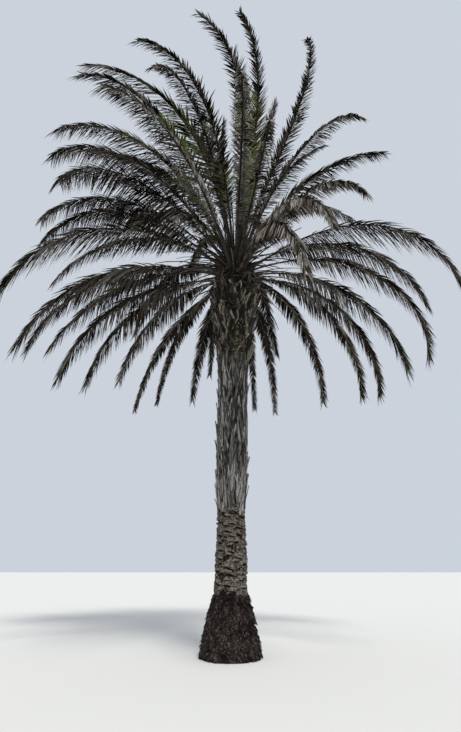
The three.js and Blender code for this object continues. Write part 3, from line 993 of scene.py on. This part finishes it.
def leaflet_parts(frond, crown):
    """Folded, pointed leaflets on both sides of a rib, with their tones.

    Neighbours lie almost parallel, and slow waves along the rib gather them into bunches.
    """
    random = default_rng(LEAFLET_SEED + frond.number)
    habit = frond.whorl.habit
    pairs = crown.pairs
    index, side, member = (grid.ravel() for grid in np.meshgrid(np.arange(pairs), (-1, 1), (0, 1)))
    count = len(index)
    along = (index + 0.5 + (member - 0.5) * 0.5 + random.normal(0, 0.10, count)) / pairs
    along = np.clip(along, 0.002, 0.998)
    share = mix(crown.bare_share, 1.0, along)
    point, forward, right, over = rib_at(frond, share)
    place = np.stack([along * 11, side * 5.0 + frond.number * 7.3, member * 1.7], axis=1)
    bunch = noise(place, 1.0, 3)
    ripple = noise(place, 2.7, 4)
    fringe = (random.uniform(0, 1, count) < habit.fringe) * 1.0
    full = crown.leaflet_length * frond.reach * smooth(-0.10, 0.35, along) * mix(1.0, 0.50, along**2)
    length = full * random.uniform(0.74, 1.10, count) * mix(0.9, 1.0, member) * (1 - 0.45 * fringe)
    tuft = tuft_at(frond, along)
    open_out = mix(43, 18, along) + 13 * frond.behind + 6 * bunch + random.normal(0, 3.5, count)
    spread = np.radians(open_out) * (1 - 0.4 * fringe)
    level = np.hypot(forward[:, 0], forward[:, 1])
    plane = np.radians((member - 0.5) * 28 + 10 * ripple + random.normal(0, 6, count) + 60 * fringe)
    hang = 0.62 * frond.hang * level * (1 + 0.3 * ripple) * (1 - 0.95 * fringe)
    aside = side * np.sin(spread) * np.cos(plane)
    lift = np.sin(spread) * np.sin(plane) + 0.2 * (1 - level)
    first = forward * np.cos(spread)[:, None] + right * aside[:, None] + over * lift[:, None]
    first = first - UP * hang[:, None]
    outward = right * side[:, None]
    missing = -(first * over).sum(axis=1) / STEEPEST_LEAFLET - (first * outward).sum(axis=1)
    first = unit(first + outward * np.maximum(missing, 0)[:, None])
    droop = (habit.droop * (0.35 + 0.65 * level) + 3 * tuft) * random.uniform(0.7, 1.3, count)
    curl = unit(random.normal(0, 1, (count, 3))) * (0.07 + 0.6 * tuft)[:, None]
    last = unit(first - UP * droop[:, None] + curl)
    width, depth = rib_size(share, crown)
    root = point + right * (side * width * 0.40)[:, None] + over * (depth * 0.05)[:, None]
    broad = crown.leaflet_width * (0.62 + 0.38 * np.sin(math.pi * along**0.6))
    broad *= random.uniform(0.8, 1.15, count) * (1 - 0.1 * frond.behind)
    turn = np.radians(side * 22 + 20 * ripple + random.normal(0, 10, count))
    twist = np.radians(random.normal(0, 25, count))
    points, faces = folded_blades(root, first, last, length, broad, over, turn, twist)
    tones = deal_tones(frond, along, side, random)
    return [(points, faces)], [np.repeat(tones, len(block) // count) for block in faces]


def folded_blades(root, first, last, length, broad, over, turn, twist):
    """Blades of eight faces, folded along the keel, that end in a point."""
    t = np.array((0.0, 0.16, 0.42, 0.70, 1.0))
    shape = np.array((0.45, 0.95, 1.0, 0.62, 0.0))
    keel, along = curves(root, first, last, length, t)
    flat = unit(np.cross(along, over[:, None]))
    raised = np.cross(flat, along)
    angle = (turn[:, None] + twist[:, None] * t)[:, :, None]
    aside = flat * np.cos(angle) + raised * np.sin(angle)
    above = raised * np.cos(angle) - flat * np.sin(angle)
    half = (broad[:, None] * shape / 2)[:, :, None]
    left = keel - aside * half + above * half * 0.55
    right = keel + aside * half + above * half * 0.55
    rows = np.stack([left, keel, right], axis=2)[:, :-1].reshape(len(root), -1, 3)
    points = np.concatenate([rows, keel[:, -1:]], axis=1).reshape(-1, 3)
    offset = (np.arange(len(root)) * BLADE_POINTS)[:, None, None]
    return points, [(offset + BLADE_QUADS).reshape(-1, 4), (offset + BLADE_TIPS).reshape(-1, 3)]


def old_stalks(crown, sizes, random):
    """Leafless stalks of lost fronds, arching out between the living ones."""
    count = crown.old_stalks
    share = (np.arange(count) + random.uniform(0, 1, count)) / count
    rise = mix(-12, 80, share)
    bearing = spiral(count, random, stray=20)
    height, radius = seat_of(rise, sizes)
    raised, fall, length, thick = draws(random, count, (-0.12, 0.12), (25, 60), (0.6, 1.8), (0.010, 0.020))
    root = on_trunk(bearing, height + raised, radius - 0.05, sizes)
    first, last = heading(bearing, np.stack([rise, rise - fall]))
    steps = (0, 0.15, 0.35, 0.6, 0.85, 1)
    taper = (1.5, 1.0, 0.85, 0.75, 0.65, 0.4)
    return strands(root, first, last, length, thick, steps, taper, sides=6)


def whorl_pieces(kind, frond_parts, materials, scene, is_smooth=False):
    """One piece for each whorl, from the parts and tones that frond_parts gives for each frond."""
    fronds = all_fronds(scene.palm_trunk)
    for whorl in WHORLS:
        parts = []
        tones = []
        for frond in fronds:
            if frond.whorl is whorl:
                made, made_tones = frond_parts(frond, scene.palm_crown)
                parts += made
                tones += made_tones
        piece = piece_from_parts(f"{whorl.name}_{kind}", parts, materials, tones, is_smooth)
        slot = "green_frond" if whorl.name == "spear" else "dry_frond"
        nodes = sorted(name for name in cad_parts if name.startswith(f"{whorl.name}_frond_"))
        finished(piece, slot, *nodes)


# Operators, one for each piece or group of like pieces


class PALM_OT_bark(Operator):
    """Model the trunk with its root mass, scarred bark and core"""

    bl_idname = "palm.bark"
    bl_label = "Bark"

    def execute(self, context):
        sizes = context.scene.palm_trunk
        ring_gap = 0.052
        upper_rings = 25
        lower = np.arange(0, sizes.bark_top + 0.25, ring_gap)
        upper = np.linspace(sizes.bark_top + 0.3, TRUNK_TOP, upper_rings)
        column = stacked_column(np.concatenate([lower, upper]), sizes, sides=64)
        refine(column, levels=2)
        press_relief(column, sizes)
        column.name = "trunk_bark"
        column.data.materials.append(bark_finish(context.scene.palm_colours, sizes))
        bpy.ops.object.shade_smooth()
        finished(column, "bark", "trunk")
        return {"FINISHED"}


class PALM_OT_root_pegs(Operator):
    """Model the short roots that stand out of the root mass"""

    bl_idname = "palm.root_pegs"
    bl_label = "Root pegs"

    def execute(self, context):
        root = np.array(context.scene.palm_colours.root)
        # Lit and shaded copies of the root colour, dealt at random: the pale copy is painted light and the
        # dark copy painted shade
        tones = {"lit_root_wood": root * 3.2, "root_wood": root, "shaded_root_wood": root * 0.3}
        materials = streaked_finishes(tones, pale=2.2, dark=0.3, stretch=2, scale=40, relief=0.004)
        random = default_rng(11)
        parts = [pegs(context.scene.palm_trunk, random)]
        finished(dealt("root_pegs", parts, materials, random, (2, 4, 7)), "bark")
        return {"FINISHED"}


class PALM_OT_grey_bases(Operator):
    """Model the weathered, splintered leaf bases on the middle of the trunk"""

    bl_idname = "palm.grey_bases"
    bl_label = "Weathered leaf bases"

    def execute(self, context):
        grey = np.array(context.scene.palm_colours.grey)
        # Lit and shaded copies of the weathered grey, dealt at random: the pale copy is painted light and
        # the dark copy painted shade, while the brown is a colour of its own. Lit copies are commonest low
        # down, brown and shaded ones high up
        tones = {
            "lit_splinters": grey * 1.95,
            "grey_splinters": grey * 0.85,
            "brown_splinters": np.array(context.scene.palm_colours.boot) * 1.7,
            "shaded_splinters": grey * 0.18,
        }
        materials = streaked_finishes(tones, pale=1.5, dark=0.3, stretch=9, scale=60, relief=0.006)
        random = default_rng(21)
        parts = grey_bases(context.scene.palm_trunk, random)
        piece = dealt("weathered_leaf_bases", parts, materials, random, (7, 5, 1, 2), (1, 3, 6, 4))
        finished(piece, "bark")
        return {"FINISHED"}


class PALM_OT_boots(Operator):
    """Model the broad cut leaf bases under the crown and the one that was cut long"""

    bl_idname = "palm.boots"
    bl_label = "Cut leaf bases"

    def execute(self, context):
        sizes = context.scene.palm_trunk
        boot = np.array(context.scene.palm_colours.boot)
        # Lit and shaded copies of the boot colour, dealt at random: the pale copy is painted light and the
        # dark copy painted shade
        tones = {"lit_boots": boot * 3.6, "brown_boots": boot * 1.1, "shaded_boots": boot * 0.22}
        materials = streaked_finishes(tones, pale=1.8, dark=0.3, stretch=7, scale=45, relief=0.008)
        random = default_rng(31)
        finished(dealt("cut_leaf_bases", broad_bases(sizes, random), materials, random, (3, 5, 5)), "bark")
        # The long stub is coloured with the lit copy of the boot colour, which is painted light
        finished(long_stub(sizes, materials[0]), "bark")
        return {"FINISHED"}


class PALM_OT_fibre(Operator):
    """Model the fibre between the leaf bases"""

    bl_idname = "palm.fibre"
    bl_label = "Fibre"

    def execute(self, context):
        fibre = np.array(context.scene.palm_colours.fibre)
        # Lit and shaded copies of the fibre colour, dealt at random: the pale copy is painted light and the
        # dark copy painted shade
        tones = {"lit_fibre": fibre * 2.4, "brown_fibre": fibre * 0.60, "shaded_fibre": fibre * 0.16}
        materials = streaked_finishes(tones, pale=1.6, dark=0.35, stretch=1, scale=30, relief=0.002)
        random = default_rng(41)
        parts = [fibre_strands(context.scene.palm_trunk, random)]
        finished(dealt("crown_fibre", parts, materials, random, (3, 5, 5)), "bark")
        return {"FINISHED"}


class PALM_OT_ribs(Operator):
    """Model the ribs and spines of every frond, one piece to each whorl, and the old leafless stalks"""

    bl_idname = "palm.ribs"
    bl_label = "Ribs"

    def execute(self, context):
        scene = context.scene
        stalk = np.array(scene.palm_colours.stalk)
        tones = {"dry_rib": np.array(scene.palm_colours.rib), "dry_stalk": stalk}
        materials = streaked_finishes(tones, pale=1.9, dark=0.4, stretch=1, scale=9, relief=0.003)
        whorl_pieces("ribs", rib_parts, materials, scene, is_smooth=True)
        # Lit and shaded copies of the stalk colour, dealt at random: the pale copy is painted highlight and
        # the dark copy painted shade
        tones = {"lit_old_stalks": stalk * 2.8, "old_stalks": stalk * 0.8, "shaded_old_stalks": stalk * 0.2}
        materials = streaked_finishes(tones, pale=1.6, dark=0.4, stretch=1, scale=9, relief=0.003)
        random = default_rng(61)
        parts = [old_stalks(scene.palm_crown, scene.palm_trunk, random)]
        finished(dealt("old_stalks", parts, materials, random, (3, 4, 6)), "dry_frond")
        return {"FINISHED"}


class PALM_OT_leaflets(Operator):
    """Model the leaflets of every frond, one piece to each whorl, in plain tones dealt out by spray"""

    bl_idname = "palm.leaflets"
    bl_label = "Leaflets"

    def execute(self, context):
        colours = context.scene.palm_colours
        materials = [leaf_finish(f"{tone}_leaflets", getattr(colours, tone)) for tone in TONES]
        whorl_pieces("leaflets", leaflet_parts, materials, context.scene)
        return {"FINISHED"}


class PALM_OT_stage(Operator):
    """Set the camera, a pale floor and soft studio light"""

    bl_idname = "palm.stage"
    bl_label = "Stage"

    def execute(self, context):
        colours = context.scene.palm_colours
        viewpoint = (0, -10.0, 1.5)
        tilt = 22.3
        focal_pixels = 490
        tall_pixels = 732
        deselect()
        bpy.ops.object.camera_add(location=viewpoint, rotation=(math.radians(90 + tilt), 0, 0))
        camera = context.object
        camera.data.sensor_width = 36
        camera.data.lens = focal_pixels / tall_pixels * camera.data.sensor_width
        camera.data.clip_end = 500
        context.scene.camera = camera
        bpy.ops.mesh.primitive_plane_add(size=300, location=(0, 0, 0))
        floor = context.object
        floor.name = "floor"
        floor.data.materials.append(floor_finish(colours.floor))
        bpy.ops.object.light_add(type="SUN", rotation=(math.radians(38), math.radians(14), 0))
        sun = context.object
        sun.data.energy = 3.2
        sun.data.angle = math.radians(12)
        sun.data.color = (1.0, 0.97, 0.92)
        world = bpy.data.worlds.new("studio")
        world.use_nodes = True
        background = world.node_tree.nodes["Background"]
        background.inputs["Color"].default_value = (*colours.sky, 1)
        background.inputs["Strength"].default_value = 0.75
        context.scene.world = world
        context.scene.view_settings.view_transform = "Standard"
        return {"FINISHED"}


OPERATORS = (
    PALM_OT_bark,
    PALM_OT_root_pegs,
    PALM_OT_grey_bases,
    PALM_OT_boots,
    PALM_OT_fibre,
    PALM_OT_ribs,
    PALM_OT_leaflets,
    PALM_OT_stage,
)


class PALM_PT_panel(Panel):
    """Lists the tree's operators and its sizes."""

    bl_idname = "PALM_PT_panel"
    bl_label = "Date palm"
    bl_space_type = "VIEW_3D"
    bl_region_type = "UI"
    bl_category = "Palm"

    def draw(self, context):
        for operator in OPERATORS:
            self.layout.operator(operator.bl_idname)
        for group in (context.scene.palm_trunk, context.scene.palm_crown, context.scene.palm_colours):
            box = self.layout.box()
            for name in group.__annotations__:
                box.prop(group, name)


CLASSES = (PalmTrunk, PalmCrown, PalmColours, *OPERATORS, PALM_PT_panel)


def register():
    for item in CLASSES:
        bpy.utils.register_class(item)
    bpy.types.Scene.palm_trunk = PointerProperty(type=PalmTrunk)
    bpy.types.Scene.palm_crown = PointerProperty(type=PalmCrown)
    bpy.types.Scene.palm_colours = PointerProperty(type=PalmColours)


def unregister():
    del bpy.types.Scene.palm_colours
    del bpy.types.Scene.palm_crown
    del bpy.types.Scene.palm_trunk
    for item in reversed(CLASSES):
        bpy.utils.unregister_class(item)


def main():
    register()
    bpy.ops.palm.bark()
    bpy.ops.palm.root_pegs()
    bpy.ops.palm.grey_bases()
    bpy.ops.palm.boots()
    bpy.ops.palm.fibre()
    bpy.ops.palm.ribs()
    bpy.ops.palm.leaflets()
    bpy.ops.palm.stage()


if __name__ == "__main__":
    main()
